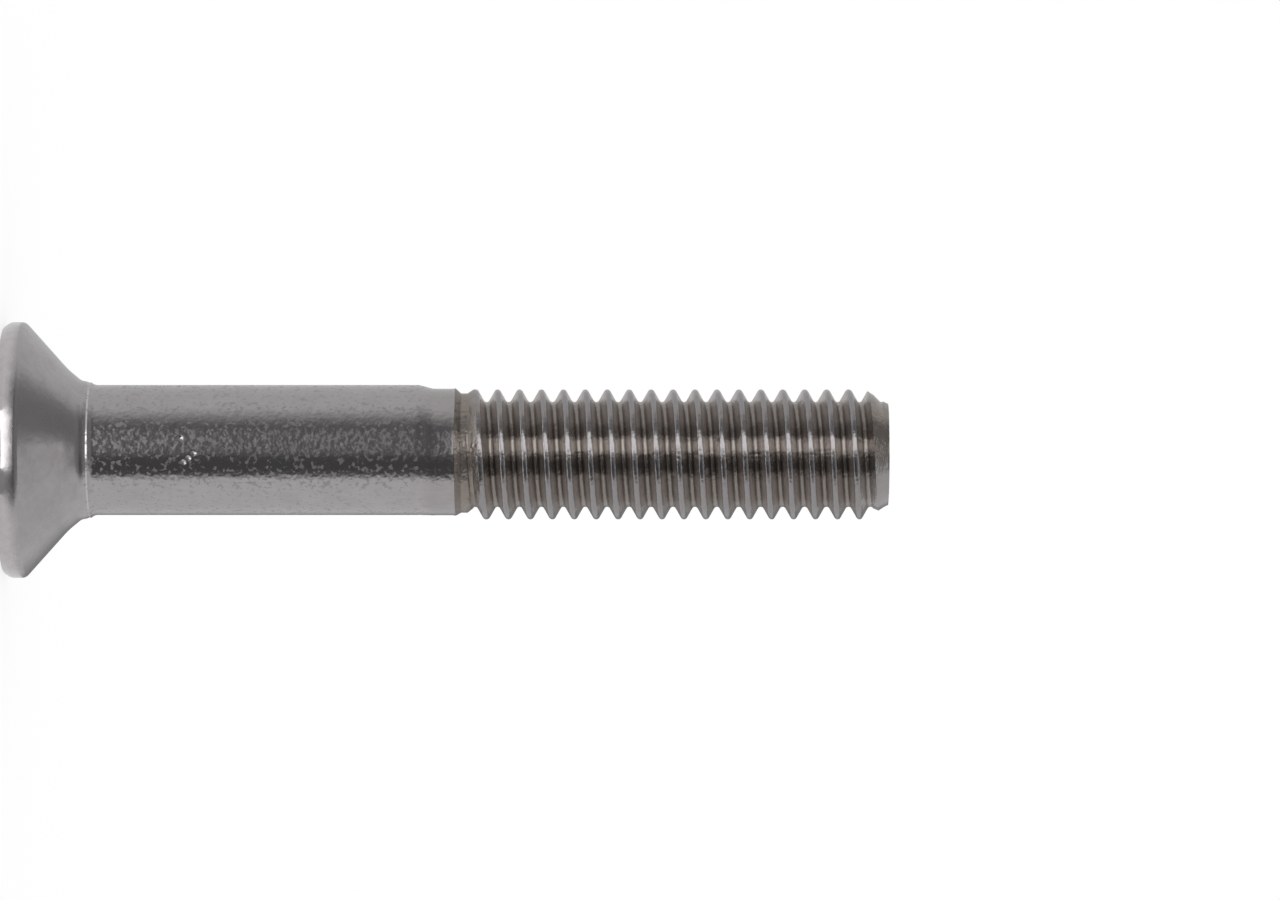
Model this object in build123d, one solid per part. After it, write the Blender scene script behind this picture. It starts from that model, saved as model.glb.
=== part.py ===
from build123d import *
from math import ceil, radians, tan
import os

# Countersunk screw with a hexagon socket, M6 x 1 and nominally 40 mm long, in stainless steel.
# It is one piece of metal: the head and its socket are cold formed, the shank stays plain, and
# the thread is rolled on the other half. The origin is the middle of the head's flat face, and
# +Z runs up the shank to the threaded end. Lengths are in millimetres and angles in degrees.

length = 40.3

# Head, from the flat face up
head_diameter = 11.67
face_edge_width = 0.24  # bevel round the flat face, measured across the face
face_edge_height = 0.35  # the same bevel, measured up the rim
rim_height = 0.63  # straight band between the bevel and the cone
cone_angle = 96.0  # from side to side of the cone

# Collar that carries the cone over into the shank
collar_diameter = 6.31
collar_length = 0.36
collar_taper_length = 0.45

# Hexagon socket
socket_across_flats = 4.0
socket_depth = 2.45  # flat face to the foot of the flats
socket_floor_angle = 120.0
socket_mouth_diameter = 5.3
socket_mouth_angle = 90.0

# Plain shank, and the slightly thinner neck before the thread
shank_diameter = 5.93
neck_diameter = 5.77
neck_taper_length = 0.6
neck_length = 0.9

# Thread, and the shallow relief in which its groove fades out
thread_diameter = 5.93
thread_pitch = 1.0
thread_length = 19.0  # first crest to the end of the screw
thread_rise_length = 0.25
relief_diameter = 5.49
relief_length = 0.25
relief_slope_length = 0.35
groove_angle = 60.0  # between the groove's two flanks
groove_run_out = 1.0  # pitches over which the groove gets its depth
groove_full_depth = 0.35  # from the first crest to the groove's first full section
groove_start_turn = 54.0  # that section's place round the axis, from +X
end_chamfer_length = 1.15
end_chamfer_width = 0.72

groove_depth = 0.6134 * thread_pitch  # of the standard metric profile

# Neighbouring turns of the groove cross this far under the blank's skin, in a sharp crest
crest_overlap = 0.01

# Room that a cutting tool keeps past the surface it cuts
tool_clearance = 0.05

# Radii
head_radius = head_diameter / 2
collar_radius = collar_diameter / 2
shank_radius = shank_diameter / 2
neck_radius = neck_diameter / 2
relief_radius = relief_diameter / 2
thread_radius = thread_diameter / 2
thread_blank_radius = thread_radius + crest_overlap
end_radius = thread_radius - end_chamfer_width

# Heights, up from the flat face as far as the shank and down from the end as far as the neck
cone_start = face_edge_height + rim_height
cone_end = cone_start + (head_radius - collar_radius) / tan(radians(cone_angle / 2))
collar_end = cone_end + collar_length
shank_start = collar_end + collar_taper_length
chamfer_start = length - end_chamfer_length
thread_start = length - thread_length
relief_end = thread_start - thread_rise_length
relief_start = relief_end - relief_length
neck_end = relief_start - relief_slope_length
neck_start = neck_end - neck_length
shank_end = neck_start - neck_taper_length


def make_blank():
    """The formed and turned screw, before its socket is punched and its thread rolled."""
    with BuildSketch(Plane.XZ) as half_section:
        with BuildLine():
            Polyline(
                (0, 0),
                (head_radius - face_edge_width, 0),
                (head_radius, face_edge_height),
                (head_radius, cone_start),
                (collar_radius, cone_end),
                (collar_radius, collar_end),
                (shank_radius, shank_start),
                (shank_radius, shank_end),
                (neck_radius, neck_start),
                (neck_radius, neck_end),
                (relief_radius, relief_start),
                (relief_radius, relief_end),
                (thread_blank_radius, thread_start),
                (thread_blank_radius, chamfer_start),
                (end_radius, length),
                (0, length),
                close=True,
            )
        make_face()
    return revolve(half_section.sketch, axis=Axis.Z)


def make_socket():
    """The space of the hexagon socket: six flats, the punch's pointed floor and a conical mouth."""
    flat_radius = socket_across_flats / 2
    floor_slope = tan(radians(90 - socket_floor_angle / 2))
    floor_tip = socket_depth + flat_radius * floor_slope
    punch_radius = socket_across_flats
    hexagon = RegularPolygon(radius=flat_radius, side_count=6, major_radius=False, rotation=30)
    prism = extrude(hexagon, amount=floor_tip)
    with BuildSketch(Plane.XZ) as half_punch:
        with BuildLine():
            Polyline(
                (0, 0),
                (punch_radius, 0),
                (punch_radius, floor_tip - punch_radius * floor_slope),
                (0, floor_tip),
                close=True,
            )
        make_face()
    punch = revolve(half_punch.sketch, axis=Axis.Z)
    mouth_radius = socket_mouth_diameter / 2
    mouth_foot_radius = flat_radius - tool_clearance
    mouth_height = (mouth_radius - mouth_foot_radius) / tan(radians(socket_mouth_angle / 2))
    on_the_face = (Align.CENTER, Align.CENTER, Align.MIN)
    mouth = Cone(mouth_radius, mouth_foot_radius, mouth_height, align=on_the_face)
    return (prism & punch) + mouth


def groove_section(height, lift):
    """The groove's section in the XZ plane, at a height, lifted outwards from its full depth."""
    flank_slope = tan(radians(groove_angle / 2))
    reach = crest_overlap + tool_clearance
    outer_half = thread_pitch / 2 + reach * flank_slope
    root_half = thread_pitch / 2 - groove_depth * flank_slope
    outer_radius = thread_radius + reach + lift
    root_radius = thread_radius - groove_depth + lift
    with BuildSketch(Plane.XZ) as section:
        with BuildLine():
            Polyline(
                (outer_radius, height + outer_half),
                (root_radius, height + root_half),
                (root_radius, height - root_half),
                (outer_radius, height - outer_half),
                close=True,
            )
        make_face()
    return section.sketch.face()


def make_groove():
    """The right-hand groove of the thread, as one cutter for each turn and one for the run-out."""
    one_turn = Helix(pitch=thread_pitch, height=thread_pitch, radius=thread_radius)
    turn = sweep(groove_section(0, 0), path=one_turn, is_frenet=True)
    full_start = thread_start + groove_full_depth
    turn_count = ceil((length - full_start) / thread_pitch) + 1
    cutters = [
        turn.moved(Location((0, 0, full_start + index * thread_pitch), (0, 0, groove_start_turn)))
        for index in range(turn_count)
    ]
    fade_height = groove_run_out * thread_pitch
    fade_turn = groove_run_out * 360
    fade_path = Helix(pitch=thread_pitch, height=fade_height, radius=thread_radius)
    shallow = groove_section(0, groove_depth + crest_overlap + tool_clearance)
    deep = groove_section(fade_height, 0).rotate(Axis.Z, fade_turn)
    fade = sweep([shallow, deep], path=fade_path, multisection=True, is_frenet=True)
    fade_place = Location((0, 0, full_start - fade_height), (0, 0, groove_start_turn - fade_turn))
    cutters.append(fade.moved(fade_place))
    return cutters


screw = make_blank() - make_socket() - make_groove()
os.makedirs("parts", exist_ok=True)
export_step(screw.solid(), "parts/screw.step")
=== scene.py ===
from math import cos, floor, pi, radians, sin, tan

import bmesh
import bpy
from mathutils import Matrix, Vector


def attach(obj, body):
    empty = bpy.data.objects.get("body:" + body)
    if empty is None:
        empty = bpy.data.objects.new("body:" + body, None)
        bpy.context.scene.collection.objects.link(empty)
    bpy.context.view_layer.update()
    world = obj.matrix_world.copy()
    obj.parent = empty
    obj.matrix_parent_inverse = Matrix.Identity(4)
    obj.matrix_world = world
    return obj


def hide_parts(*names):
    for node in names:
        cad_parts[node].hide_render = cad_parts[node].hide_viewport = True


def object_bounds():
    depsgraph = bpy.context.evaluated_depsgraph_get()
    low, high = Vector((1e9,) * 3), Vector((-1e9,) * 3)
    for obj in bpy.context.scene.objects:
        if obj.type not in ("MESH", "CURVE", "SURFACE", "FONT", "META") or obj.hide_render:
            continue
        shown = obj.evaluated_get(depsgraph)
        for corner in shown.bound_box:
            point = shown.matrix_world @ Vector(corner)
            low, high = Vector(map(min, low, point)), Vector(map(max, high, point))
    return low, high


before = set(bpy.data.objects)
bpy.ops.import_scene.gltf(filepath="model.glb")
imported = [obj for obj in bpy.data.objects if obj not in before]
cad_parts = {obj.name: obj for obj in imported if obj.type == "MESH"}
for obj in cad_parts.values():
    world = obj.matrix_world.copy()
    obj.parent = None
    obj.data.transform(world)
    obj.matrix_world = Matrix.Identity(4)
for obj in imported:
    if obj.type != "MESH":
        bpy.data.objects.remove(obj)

cad_low, cad_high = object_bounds()
mm = 0.001  # the scene is in metres

# ---------------------------------------------------------------------------------------------
# The countersunk screw: one piece of stainless steel with a hexagon socket. Its head and socket
# are cold formed, its shank stays plain, and its M6 x 1 thread is rolled last, which leaves a
# thinner neck and the rolled half a little off the shank's axis. It stands on its face, at z = 0.
# ---------------------------------------------------------------------------------------------
ring_steps = 96
rounding_steps = 4
tolerance = 0.001 * mm  # two corners that lie closer together are one
sharp_corner = radians(28)

# Head and collar
head_radius = 5.834 * mm
face_radius, face_edge_height = 5.595 * mm, 0.35 * mm
cone_start, cone_end, cone_end_radius = 0.98 * mm, 2.92 * mm, 3.67 * mm
collar_waist, collar_start = 3.16 * mm, 3.54 * mm
collar_radius, collar_end = 3.135 * mm, 3.77 * mm
seam_foot, seam_foot_radius = 3.90 * mm, 3.074 * mm  # the heading die's fine seam
seam_top, seam_top_radius = 3.98 * mm, 3.092 * mm

# Shank, neck and the relief before the thread
shank_radius, shank_start, shank_end = 2.965 * mm, 4.14 * mm, 18.95 * mm
neck_radius, neck_start = 2.885 * mm, 19.55 * mm
lip_radius, lip_start, neck_end = 2.915 * mm, 20.48 * mm, 20.58 * mm  # the neck ends in a lip
relief_radius, relief_start = 2.72 * mm, 20.84 * mm
neck_offset, relief_offset = 0.09 * mm, 0.14 * mm  # from the shank's axis, towards +X

# Hexagon socket
mouth_radius = 2.65 * mm
flat_radius, flat_count = 2.0 * mm, 6
socket_depth = 2.45 * mm  # from the face to the foot of the flats
floor_slope = tan(radians(30))  # left by the punch's point of 120 degrees
floor_rings = 6


def draw_section(built, points):
    """A line through points on the +X side, each given by its radius and its height."""
    corners = [built.verts.new((radius, 0, height)) for radius, height in points]
    for low, high in zip(corners, corners[1:]):
        built.edges.new((low, high))


steel = bmesh.new()
half_section = [
    (mouth_radius, 0),
    (face_radius, 0),
    (head_radius, face_edge_height),
    (head_radius, cone_start),
    (cone_end_radius, cone_end),
    (collar_waist, collar_start),
    (collar_radius, collar_end),
    (seam_foot_radius, seam_foot),
    (seam_top_radius, seam_top),
    (shank_radius, shank_start),
    (shank_radius, shank_end),
    (neck_radius, neck_start),
    (neck_radius, lip_start),
    (lip_radius, neck_end),
    (relief_radius, relief_start),
]
draw_section(steel, half_section)
bmesh.ops.spin(steel, geom=steel.edges[:], axis=(0, 0, 1), cent=(0, 0, 0), angle=2 * pi,
               steps=ring_steps, use_merge=True)
bmesh.ops.remove_doubles(steel, verts=steel.verts[:], dist=tolerance)


def at_height(corner, height):
    return abs(corner.co.z - height) < tolerance


def ring(radius, height):
    """The edges of the blank's circle of that radius and height."""
    return [edge for edge in steel.edges if all(
        abs(end.co.xy.length - radius) < tolerance and at_height(end, height)
        for end in edge.verts)]


corner_roundings = [
    (face_radius, 0, 0.1 * mm),
    (head_radius, face_edge_height, 0.12 * mm),
    (head_radius, cone_start, 0.15 * mm),
    (cone_end_radius, cone_end, 0.25 * mm),
    (collar_waist, collar_start, 0.12 * mm),
    (collar_radius, collar_end, 0.06 * mm),
    (shank_radius, shank_start, 0.12 * mm),
    (shank_radius, shank_end, 0.15 * mm),
    (neck_radius, neck_start, 0.2 * mm),
    (neck_radius, lip_start, 0.03 * mm),
    (lip_radius, neck_end, 0.05 * mm),
]
for radius, height, width in corner_roundings:
    bmesh.ops.bevel(steel, geom=ring(radius, height), offset=width, offset_type="OFFSET",
                    affect="EDGES", segments=rounding_steps, profile=0.5, material=-1)


def corners_of(parts):
    return [part for part in parts if isinstance(part, bmesh.types.BMVert)]


def draw_in(edges, move, *how_far):
    """The next ring of the socket: the edges' copies, with each corner moved."""
    grown = bmesh.ops.extrude_edge_only(steel, edges=edges)["geom"]
    for corner in corners_of(grown):
        corner.co = move(corner.co, *how_far)
    return [part for part in grown if isinstance(part, bmesh.types.BMEdge) and part.is_boundary]


def turns_to(point):
    """How far round the axis a point lies, from +X towards +Y, as a share of a full turn."""
    return Vector((1, 0)).angle_signed(point.xy) / (-2 * pi) % 1


def onto_flats(point):
    """From the mouth's circle down the conical mouth to the hexagon, with flats at +X and -X."""
    along_flat = turns_to(point) * flat_count % 1
    wall = flat_radius / cos(2 * pi / flat_count * min(along_flat, 1 - along_flat))
    across = point.xy.normalized() * wall
    return Vector((*across, mouth_radius - wall))


def onto_floor(point, share):
    """Down to the punch's pointed floor, and in to a share of the point's own radius."""
    across = Vector((point.x * share, point.y * share))
    return Vector((*across, socket_depth + (flat_radius - across.length) * floor_slope))


edges = draw_in(ring(mouth_radius, 0), onto_flats)
edges = draw_in(edges, onto_floor, 1)
for left in range(floor_rings - 1, 0, -1):
    edges = draw_in(edges, onto_floor, left / (left + 1))
tip = socket_depth + flat_radius * floor_slope
bmesh.ops.pointmerge(steel, verts=list({end for edge in edges for end in edge.verts}),
                     merge_co=(0, 0, tip))


def rise(value, low, high):
    """0 up to low, 1 from high on, and even between them."""
    return min(1, max(0, (value - low) / (high - low)))


# The neck and the relief lead over to the rolled half, which lies off the shank's axis
for corner in steel.verts:
    corner.co.x += neck_offset * rise(corner.co.z, shank_end, neck_start)
    corner.co.x += (relief_offset - neck_offset) * rise(corner.co.z, neck_end, relief_start)

# Rolled thread
length = cad_high.z
pitch = 1.0 * mm
thread_radius, root_radius = 2.965 * mm, 2.39 * mm
crest_rounding, root_rounding = 0.15 * mm, 0.15 * mm
flank_angle = radians(30)
thread_offset = 0.2 * mm  # of the rolled half from the shank's axis, towards +X
groove_height = 21.5 * mm  # of one groove, on the +X side
groove_fade = 20.9 * mm, 21.5 * mm  # heights between which the groove gets its depth
crest_fade = 21.15 * mm, 21.5 * mm  # and its first crest its height
first_crest = 21.5 * mm
second_turn = 22.25 * mm  # the first turn's crest is all under this height
first_rise_start, first_rise_end = 0.32 * mm, 0.1 * mm  # of the first turn, under its crest
chamfer_start, end_radius = length - 1.05 * mm, 2.28 * mm
joint_height = 20.9 * mm  # of the thread's first ring, which is joined to the relief
arc_steps = 3
spare_turns = 2  # made beyond each end of the thread, and cut off


def arc(radius, height, rounding, start, stop):
    """Points of a rounding in the thread's section, from one angle to another, 0 being outwards."""
    angles = [start + (stop - start) * index / arc_steps for index in range(arc_steps + 1)]
    return [(radius + rounding * cos(angle), height + rounding * sin(angle)) for angle in angles]


lean = radians(90) - flank_angle  # how far round a rounding goes, up to the flank it meets
root_centre, crest_centre = root_radius + root_rounding, thread_radius - crest_rounding
thread_section = (
    arc(root_centre, 0, root_rounding, pi, pi - lean)
    + arc(crest_centre, pitch / 2, crest_rounding, -lean, 0)
    + arc(crest_centre, pitch / 2, crest_rounding, 0, lean)[1:]
    + arc(root_centre, pitch, root_rounding, pi + lean, pi)
)
thread = bmesh.new()
first_height = groove_height - spare_turns * pitch
draw_section(thread, [(radius, first_height + up) for radius, up in thread_section])
bmesh.ops.spin(thread, geom=thread.edges[:], axis=(0, 0, 1), cent=(0, 0, 0), angle=2 * pi,
               dvec=(0, 0, pitch / ring_steps), steps=ring_steps, use_merge=False)


def whole(built):
    return built.verts[:] + built.edges[:] + built.faces[:]


one_turn = whole(thread)
turn_count = int((length - first_height) / pitch) + spare_turns
for index in range(1, turn_count):
    copied = bmesh.ops.duplicate(thread, geom=one_turn)["geom"]
    bmesh.ops.translate(thread, verts=corners_of(copied), vec=(0, 0, index * pitch))
bmesh.ops.remove_doubles(thread, verts=thread.verts[:], dist=tolerance)


def rolled_radius(point):
    """Distance from the thread's axis, with the run-out before the first crest and the chamfer."""
    height = point.z
    turned = turns_to(point)
    groove_here = groove_height + turned * pitch
    turns_up = (height - groove_here) / pitch
    nearest_groove = groove_here + round(turns_up) * pitch
    nearest_crest = groove_here + (floor(turns_up) + 0.5) * pitch
    shallow = 1 - rise(nearest_groove, *groove_fade)
    grooved = point.xy.length + shallow * (thread_radius - root_radius)
    relief = relief_radius - (thread_offset - relief_offset) * cos(2 * pi * turned)
    proud = rise(nearest_crest, *crest_fade)
    if nearest_crest < second_turn:
        proud *= rise(height, nearest_crest - first_rise_start, nearest_crest - first_rise_end)
    narrowing = rise(height, chamfer_start, length)
    return min(grooved, relief + (thread_radius - relief) * proud,
               thread_radius + (end_radius - thread_radius) * narrowing)


for corner in thread.verts:
    corner.co.xy = corner.co.xy.normalized() * rolled_radius(corner.co)

# The thread is cut level at its joint with the relief and at the screw's end
for height, kept_side in ((joint_height, 1), (length, -1)):
    bmesh.ops.bisect_plane(thread, geom=whole(thread), dist=tolerance / 2,
                           plane_co=(0, 0, height), plane_no=(0, 0, kept_side), clear_inner=True)
    for corner in thread.verts:
        if at_height(corner, height):
            corner.co.z = height
bmesh.ops.translate(thread, verts=thread.verts[:], vec=(thread_offset, 0, 0))

thread_mesh = bpy.data.meshes.new("thread")
thread.to_mesh(thread_mesh)
steel.from_mesh(thread_mesh)
bpy.data.meshes.remove(thread_mesh)
thread.free()


def open_edges(height):
    return [edge for edge in steel.edges
            if edge.is_boundary and all(at_height(end, height) for end in edge.verts)]


bmesh.ops.bridge_loops(steel, edges=open_edges(relief_start) + open_edges(joint_height))
bmesh.ops.holes_fill(steel, edges=open_edges(length), sides=0)
bmesh.ops.remove_doubles(steel, verts=steel.verts[:], dist=tolerance)
bmesh.ops.recalc_face_normals(steel, faces=steel.faces[:])

# The finishes, in the order in which the screw gets them further down
head_finish, shank_finish, thread_finish, socket_finish = range(4)


def finish_at(middle):
    """Which finish a face has, by where its middle lies."""
    if middle.z > neck_end:
        return thread_finish
    if middle.z > collar_end:
        return shank_finish
    if middle.xy.length < mouth_radius:
        return socket_finish
    return head_finish


for face in steel.faces:
    face.material_index = finish_at(face.calc_center_median())


def new_piece(name, built):
    """The object of a piece, with the mesh that was built for it in place."""
    mesh = bpy.data.meshes.new(name)
    built.to_mesh(mesh)
    built.free()
    piece = bpy.data.objects.new(name, mesh)
    bpy.context.scene.collection.objects.link(piece)
    return piece


screw = new_piece("countersunk_screw", steel)
screw.data.shade_smooth()
screw.data.set_sharp_from_angle(angle=sharp_corner)
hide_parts("screw")
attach(screw, "root")


class Socket:
    """A node's output, on which Python's own operators add Math nodes."""

    def __init__(self, tree, output):
        self.tree, self.output = tree, output

    def node(self, kind, settings=None, result=0, **inputs):
        """A result of a new node: its settings come first, then its inputs by name or number."""
        made = self.tree.nodes.new(kind)
        for name, value in (settings or {}).items():
            setattr(made, name, value)
        for name, value in inputs.items():
            target = made.inputs[int(name[1:]) if name[0] == "_" else name.replace("_", " ")]
            if isinstance(value, Socket):
                self.tree.links.new(value.output, target)
            else:
                target.default_value = value
        return Socket(self.tree, made.outputs[result])

    def math(self, operation, other):
        return self.node("ShaderNodeMath", {"operation": operation}, _0=self, _1=other)

    def reflected(self, operation, other):
        return self.node("ShaderNodeMath", {"operation": operation}, _0=other, _1=self)

    def __add__(self, other):
        return self.math("ADD", other)

    def __sub__(self, other):
        return self.math("SUBTRACT", other)

    def __mul__(self, other):
        return self.math("MULTIPLY", other)

    def __truediv__(self, other):
        return self.math("DIVIDE", other)

    def __pow__(self, other):
        return self.math("POWER", other)

    __radd__ = __add__
    __rmul__ = __mul__

    def __rsub__(self, other):
        return self.reflected("SUBTRACT", other)

    def __rtruediv__(self, other):
        return self.reflected("DIVIDE", other)

    def step(self, low, high):
        """0 below low, 1 above high, and smooth between them."""
        return self.node("ShaderNodeMapRange", {"interpolation_type": "SMOOTHSTEP"}, Value=self,
                         From_Min=low, From_Max=high)

    def blend(self, first, second):
        """A number that goes from first to second as this goes from 0 to 1."""
        return first + self * (second - first)

    def mix(self, first, second):
        """A colour that goes from first to second as this goes from 0 to 1."""
        return self.node("ShaderNodeMix", {"data_type": "RGBA"}, 2,
                         Factor=self, _6=first, _7=second)

    def vector(self, operation, *other, result=0):
        """Vector Math on this point and, where it takes one, another."""
        inputs = {f"_{index}": value for index, value in enumerate((self, *other))}
        return self.node("ShaderNodeVectorMath", {"operation": operation}, result, **inputs)

    def stretched(self, x, y, z):
        return self.vector("MULTIPLY", (x, y, z))

    def axes(self):
        """The x, y and z of a point or a direction."""
        parts = self.node("ShaderNodeSeparateXYZ", _0=self).output.node.outputs
        return [Socket(self.tree, part) for part in parts]

    def noise(self, size, detail=2.0, roughness=0.5):
        """Noise round 0 whose blots are about that size, in millimetres."""
        noise = self.node("ShaderNodeTexNoise", Vector=self, Scale=1 / (size * mm), Detail=detail,
                          Roughness=roughness)
        return noise - 0.5


def new_finish(name):
    """The surface point of a new finish of the metal, from which its look is worked out."""
    material = bpy.data.materials.new(name)
    material.use_nodes = True
    tree = material.node_tree
    tree.nodes["Principled BSDF"].inputs["Metallic"].default_value = 1
    screw.data.materials.append(material)
    return Socket(tree, tree.nodes.new("ShaderNodeTexCoord").outputs["Object"])


def dress(colour, roughness, height):
    """Gives the metal its colour, its roughness and its relief, a height in millimetres."""
    tree = colour.tree
    shader = tree.nodes["Principled BSDF"].inputs
    tree.links.new(colour.output, shader["Base Color"])
    tree.links.new(roughness.output, shader["Roughness"])
    relief = height.node("ShaderNodeBump", Strength=1.0, Distance=mm, Height=height)
    tree.links.new(relief.output, shader["Normal"])


clean_steel = (0.462, 0.441, 0.450, 1)
dull_steel = (0.40, 0.378, 0.380, 1)
worn_steel = (0.335, 0.319, 0.324, 1)
rolled_steel = (0.44, 0.405, 0.385, 1)
# brown stains, and painted shade on one side of the end chamfer
stained_and_shaded_steel = (0.310, 0.275, 0.250, 1)
# painted shade, which darkens the groove's root and the relief's slope
painted_shade_steel = (0.20, 0.175, 0.158, 1)

# Head: cold formed, even and fine-grained
point = new_finish("formed_head")
blotches = point.noise(0.9, 3.0)
mottle = point.noise(0.3, 2.0)
dress((blotches * 1.4 + mottle + 0.35).mix(clean_steel, dull_steel),
      blotches * 0.10 + mottle * 0.08 + 0.26, mottle * 0.004 + blotches * 0.015)

# Shank: drawn, with small matt specks that the rolling thins out on the neck, with scratches
# along it, and with nicks: a row of three dents and a single one
nick_places = ((0.13, 8.80), (0.35, 8.57), (0.55, 8.35), (-0.53, 8.19))  # mm, in x and z
nick_floor, nick_edge, nick_depth = -0.12, 0.18, 0.11  # mm, the floor under 0 for a point

point = new_finish("drawn_shank")
z = point.axes()[2]
blotches = point.noise(0.8, 3.0)
pits = point.noise(0.26, 1.0)
neck = z.step(shank_end, neck_start)
specks = point.noise(0.20, 1.0).step(0.03, 0.18) * (1 - neck * 0.6)
scratches = point.stretched(1, 1, 0.12).noise(0.10, 2.0)
nicks = 0
for across, height in nick_places:
    front = -((shank_radius / mm) ** 2 - across ** 2) ** 0.5
    away = point.vector("DISTANCE", (across * mm, front * mm, height * mm), result=1) / mm
    nicks = (1 - away.step(nick_floor, nick_edge)) + nicks
dress((blotches * 1.2 + scratches + neck * 0.6 + 0.3).mix(clean_steel, dull_steel),
      specks * 0.3 + blotches * 0.05 + 0.17,
      pits * 0.015 + scratches * 0.001 - nicks * nick_depth)

# Thread: rolled, with fine lines round it, crests that wear has dulled and brown stains, and with
# painted shade in its groove's root, on the relief's slope and on its end chamfer's -X side
finish_change = 0.3 * mm  # over which one finish goes over into the next

point = new_finish("rolled_thread")
x, y, z = point.axes()
depth = (thread_radius - ((x - thread_offset) ** 2 + y ** 2) ** 0.5) / mm
low_in_groove = depth.step(0.04, 0.35)
run_out = 1 - z.step(first_crest - finish_change, first_crest + finish_change)
blotches = point.noise(0.7, 3.0)
dirt = point.noise(0.22, 2.0)
lines = point.stretched(0.15, 0.15, 1).noise(0.06, 3.0, 0.6)
pits = point.noise(0.12, 2.0)
bare = (1 - low_in_groove * 1.8 - blotches).mix(rolled_steel, worn_steel)
chamfer = z.step(chamfer_start, chamfer_start + finish_change)
clean = chamfer.mix(bare, dull_steel)
relief_slope = z.step(lip_start, neck_end) * (1 - z.step(relief_start, joint_height))
# Painted shade: the deepest part of the groove and the relief's slope are darkened
painted_shade = (depth.step(0.40, 0.50) * 0.65 + relief_slope * 0.7) * (1 - chamfer)
end_side_shade = chamfer * (1 - x.step(0.1 * mm, 0.9 * mm))  # painted shade, on the -X side, which is the top of the picture
# Brown stains in blotches and at the run-out, and painted shade on the end chamfer's -X side
stain_and_shade = (run_out * 0.9 + end_side_shade * 0.7 + blotches * 1.2 + dirt + 0.1).step(0.1, 0.9)
dress(painted_shade.mix(stain_and_shade.mix(clean, stained_and_shaded_steel), painted_shade_steel),
      run_out * 0.15 + blotches * 0.2 + pits * 0.10 + 0.21,
      blotches * 0.055 + lines * 0.012 + pits * 0.008 + run_out * dirt * 0.05)

# Socket: punched, with the punch's drag lines down its flats
point = new_finish("punched_socket")
blotches = point.noise(0.6, 3.0)
lines = point.stretched(1, 1, 0.08).noise(0.08, 2.0)
dress((blotches * 1.5 + 0.4).mix(clean_steel, dull_steel),
      blotches * 0.12 + 0.28, lines * 0.008 + blotches * 0.01)

# ---------------------------------------------------------------------------------------------
# The paper under the screw: matt and white, and so wide that its edge is out of sight. It shows
# white and keeps the screw's shadow, and from below it can be seen through. It lies a hair under
# the head's face, so that the two never lie in one plane.
# ---------------------------------------------------------------------------------------------
paper_reach = 3.0  # from the middle to each edge
paper_gap = 0.02 * mm
paper_glow = 0.75  # the share of its white that no shadow darkens

sheet = bmesh.new()
bmesh.ops.create_grid(sheet, x_segments=1, y_segments=1, size=paper_reach,
                      matrix=Matrix.Translation((0, 0, -paper_gap)))
paper = new_piece("white_paper", sheet)


def shown(tree):
    """1 for the rays that show the background: from the camera, off a gloss or through glass."""
    rays = tree.nodes.new("ShaderNodeLightPath")
    camera_ray = Socket(tree, rays.outputs["Is Camera Ray"])
    glossy_ray = Socket(tree, rays.outputs["Is Glossy Ray"])
    through_ray = Socket(tree, rays.outputs["Is Transmission Ray"])
    return camera_ray.math("MAXIMUM", glossy_ray).math("MAXIMUM", through_ray)


skin = bpy.data.materials.new("white_paper")
skin.use_nodes = True
tree = skin.node_tree
matt = tree.nodes["Principled BSDF"]
matt.inputs["Base Color"].default_value = (1, 1, 1, 1)
matt.inputs["Roughness"].default_value = 1
matt.inputs["Specular IOR Level"].default_value = 0
seen = shown(tree)
lit = seen.node("ShaderNodeMixShader", _0=seen * paper_glow, _1=Socket(tree, matt.outputs[0]),
                _2=seen.node("ShaderNodeEmission", Strength=1.0))
under = seen.node("ShaderNodeNewGeometry", result="Backfacing")
paper_look = seen.node("ShaderNodeMixShader", _0=under, _1=lit,
                       _2=seen.node("ShaderNodeBsdfTransparent"))
tree.links.new(paper_look.output, tree.nodes["Material Output"].inputs["Surface"])
paper.data.materials.append(skin)

# ---------------------------------------------------------------------------------------------
# The studio round it: a white room, a tent of pale cloth that is dark in front, and more cloth, a
# grey card and bright reflectors on the paper. One bright card stands close before the thread.
# Only the screw's gloss shows the cloth and the cards.
# ---------------------------------------------------------------------------------------------

# How bright each part is, where 1 is white
tent_level, low_side_level, overhead_level = 0.69, 0.75, 0.67
flag_level = 0.25
dark_level, haze_level, top_haze_level = 0.09, 0.145, 0.27
reflector_level = 0.92  # where it starts
reflector_fade = 0.3  # the power of the distance with which it dims
near_level, grey_level, card_level = 2.6, 0.4, 1.6

# The tent, whose parts end softly. A turn is in degrees up from the camera, round the screw, and
# a side or a height is the x or the z of a direction from the screw's foot.
tent_radius = 0.5
tent_steps = 64
low_side = -0.2, 0.6
overhead_height = 0.5, 0.8
behind_turn, behind_height = (-168, -140), (0.5, 0.7)
front_bottom_turn, front_top_turn, front_height = (-52, -44), (36, 84), (0.9, 0.985)
front_lean = 40  # degrees by which the front's top edge rises from the floor to overhead
haze_turn = -16, -4
top_haze_bottom, top_haze_top = (0.25, 0.6), (0.86, 0.94)
flag_side, flag_height = (0.02, 0.12), (0.74, 0.86)  # its side is towards -X

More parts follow.
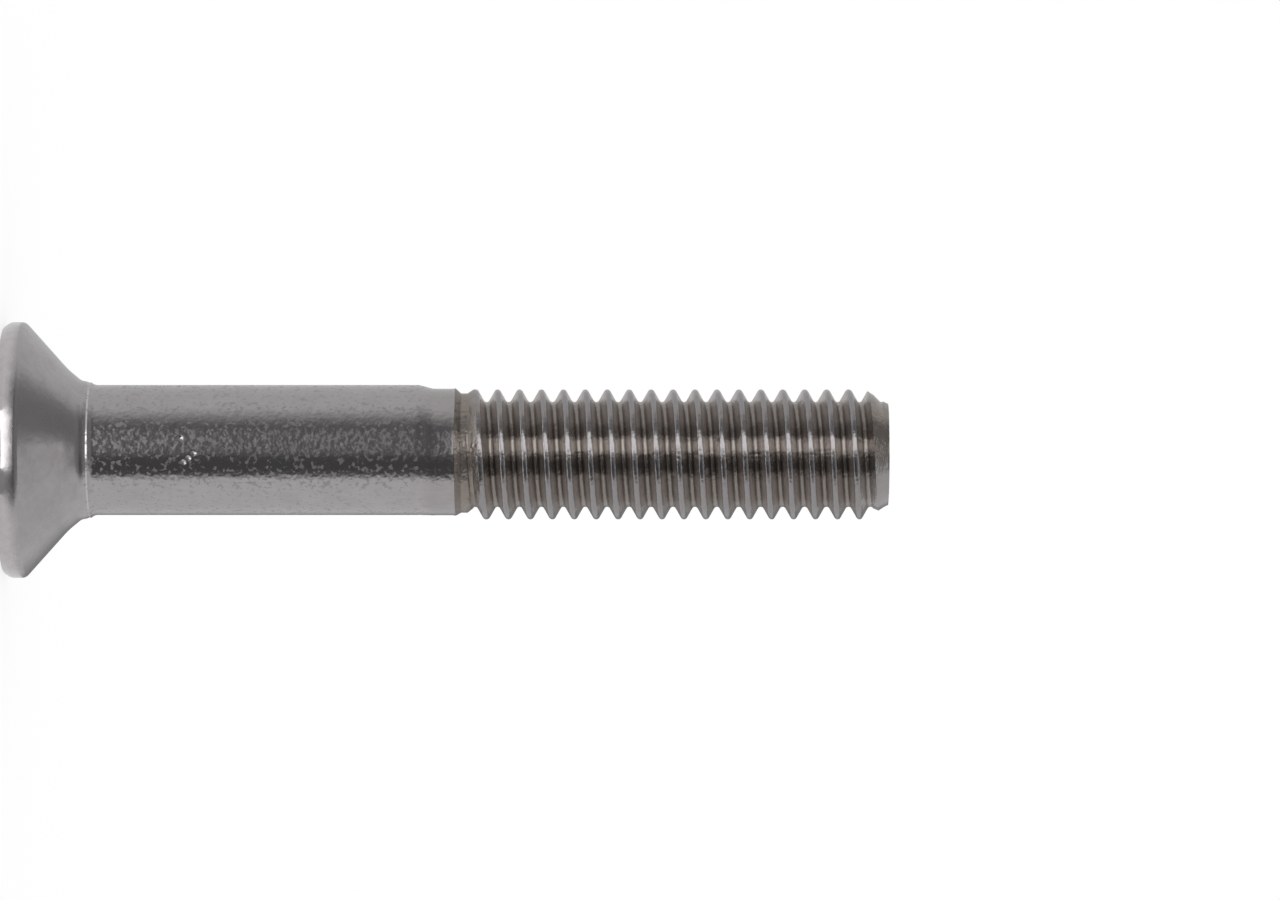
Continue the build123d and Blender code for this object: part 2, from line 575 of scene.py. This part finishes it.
# The sheets: distances from the screw's axis, turns as above, and heights over the face's plane
sheet_steps = 48
cloth_height, reflector_height = 0.05 * mm, 0.1 * mm
cloth_start, cloth_turns = 16 * mm, (-180, 180)
near_start, near_shift = 3 * mm, 3 * mm  # the near sheets turn round a point before the screw
grey_end, grey_turns = 14 * mm, (-40, -17)
near_end, near_turns = 17 * mm, (-17, 36)
near_glow_end = 10, 19  # mm from the screw's foot, where it dims to the reflector's level
reflector_start, reflector_end, reflector_turns = 20 * mm, 330 * mm, (-6, 36)
card_distance, card_bottom, card_top, card_turns = 6 * mm, 21.3 * mm, 45 * mm, (2, 27)

room = bpy.data.worlds.new("white_room")
room.use_nodes = True
bpy.context.scene.world = room
background = room.node_tree.nodes["Background"].inputs
background["Color"].default_value = (1, 1, 1, 1)
background["Strength"].default_value = 1


def new_glow(name, strength):
    """A material that only glows, and its point, seen from the foot of the screw."""
    material = bpy.data.materials.new(name)
    material.use_nodes = True
    tree = material.node_tree
    tree.nodes.remove(tree.nodes["Principled BSDF"])
    glow = tree.nodes.new("ShaderNodeEmission")
    glow.inputs["Strength"].default_value = strength
    tree.links.new(glow.outputs[0], tree.nodes["Material Output"].inputs["Surface"])
    return material, Socket(tree, tree.nodes.new("ShaderNodeTexCoord").outputs["Object"])


def shade(level):
    """Gives a glow its level, from black at 0 to white at 1."""
    black, white = (0, 0, 0, 1), (1, 1, 1, 1)
    glow = level.tree.nodes["Emission"]
    level.tree.links.new(level.mix(black, white).output, glow.inputs["Color"])


cloth, point = new_glow("tent_cloth", 1)
x, y, z = point.vector("NORMALIZE").axes()
turn = (0 - x).math("ARCTAN2", 0 - y) * (180 / pi)
level = x.step(*low_side).blend(tent_level, low_side_level)
level = z.step(*overhead_height).blend(level, overhead_level)
behind = (1 - turn.step(*behind_turn)) * (1 - z.step(*behind_height))
level = behind.blend(level, flag_level)
front = (1 - (turn - z * front_lean).step(*front_top_turn)) * turn.step(*front_bottom_turn)
front = front * (1 - z.step(*front_height))
front_level = turn.step(*haze_turn).blend(dark_level, haze_level)
top_haze = z.step(*top_haze_bottom) * (1 - z.step(*top_haze_top))
front_level = top_haze.blend(front_level, top_haze_level)
level = front.blend(level, front_level)
flag = (0 - x).step(*flag_side) * z.step(*flag_height)
shade(flag.blend(level, flag_level))

shine, point = new_glow("reflector", near_level)
distance = point.vector("LENGTH", result=1) / mm
share = (reflector_start / mm / distance) ** reflector_fade * (reflector_level / near_level)
shade((1 - distance.step(*near_glow_end)).blend(share, 1))


def hang(name, built, skin):
    """A piece of the studio that only the screw's gloss shows."""
    piece = new_piece(name, built)
    piece.data.materials.append(skin)
    piece.visible_camera = piece.visible_diffuse = piece.visible_shadow = False
    piece.visible_transmission = piece.visible_volume_scatter = False


dome = bmesh.new()
bmesh.ops.create_uvsphere(dome, u_segments=tent_steps, v_segments=tent_steps // 2,
                          radius=tent_radius)
bmesh.ops.bisect_plane(dome, geom=whole(dome), plane_co=(0, 0, 0), plane_no=(0, 0, -1),
                       clear_outer=True)
hang("light_tent", dome, cloth)


def hang_sheet(name, skin, first, last, turns, shift=0):
    """A sheet turned round the screw's axis, or round a point shifted from it to the camera.

    Its first and last edges have a distance and a height, and it reaches from the bottom to the
    top turn, in degrees up from the camera.
    """
    bottom, top = turns
    turned = bmesh.new()
    draw_section(turned, (first, last))
    bmesh.ops.rotate(turned, verts=turned.verts[:],
                     matrix=Matrix.Rotation(radians(270 - top), 3, "Z"))
    bmesh.ops.spin(turned, geom=turned.edges[:], axis=(0, 0, 1), cent=(0, 0, 0),
                   angle=radians(top - bottom), steps=sheet_steps, use_merge=False)
    bmesh.ops.translate(turned, verts=turned.verts[:], vec=(0, -shift, 0))
    hang(name, turned, skin)


def lay_sheet(name, skin, start, end, height, turns, shift=0):
    """A sheet that lies level, from a nearest to a farthest distance."""
    hang_sheet(name, skin, (start, height), (end, height), turns, shift)


lay_sheet("ground_cloth", cloth, cloth_start, tent_radius, cloth_height, cloth_turns)
grey = new_glow("grey_card", grey_level)[0]
lay_sheet("grey_card", grey, near_start, grey_end, cloth_height, grey_turns, near_shift)
lay_sheet("near_reflector", shine, near_start, near_end, reflector_height, near_turns, near_shift)
lay_sheet("reflector", shine, reflector_start, reflector_end, reflector_height, reflector_turns)
bright = new_glow("thread_card", card_level)[0]
hang_sheet("thread_card", bright, (card_distance, card_bottom), (card_distance, card_top),
           card_turns)

# ---------------------------------------------------------------------------------------------
# The camera looks at the screw level and square to its axis. It is turned on its side, so that
# the screw lies across the picture with its head to the left.
# ---------------------------------------------------------------------------------------------
picture_width = 1280  # px
pixels_per_mm = 21.93  # on the screw's axis
face_column = 4.2  # px, where the head's face lies
camera_distance = 348 * mm
sensor_width = 36 * mm

view_width = picture_width / pixels_per_mm * mm
aim_height = view_width / 2 - face_column / pixels_per_mm * mm

lens = bpy.data.cameras.new("studio_camera")
lens.sensor_width = sensor_width / mm
lens.lens = sensor_width / mm * camera_distance / view_width
lens.clip_start, lens.clip_end = 10 * mm, 10
camera = bpy.data.objects.new("studio_camera", lens)
to_right, to_top, to_back = Vector((0, 0, 1)), Vector((-1, 0, 0)), Vector((0, -1, 0))
camera_turn = Matrix((to_right, to_top, to_back)).transposed().to_4x4()
camera.matrix_world = Matrix.Translation((0, -camera_distance, aim_height)) @ camera_turn
bpy.context.scene.collection.objects.link(camera)
bpy.context.scene.camera = camera
bpy.context.scene.view_settings.view_transform = "Standard"
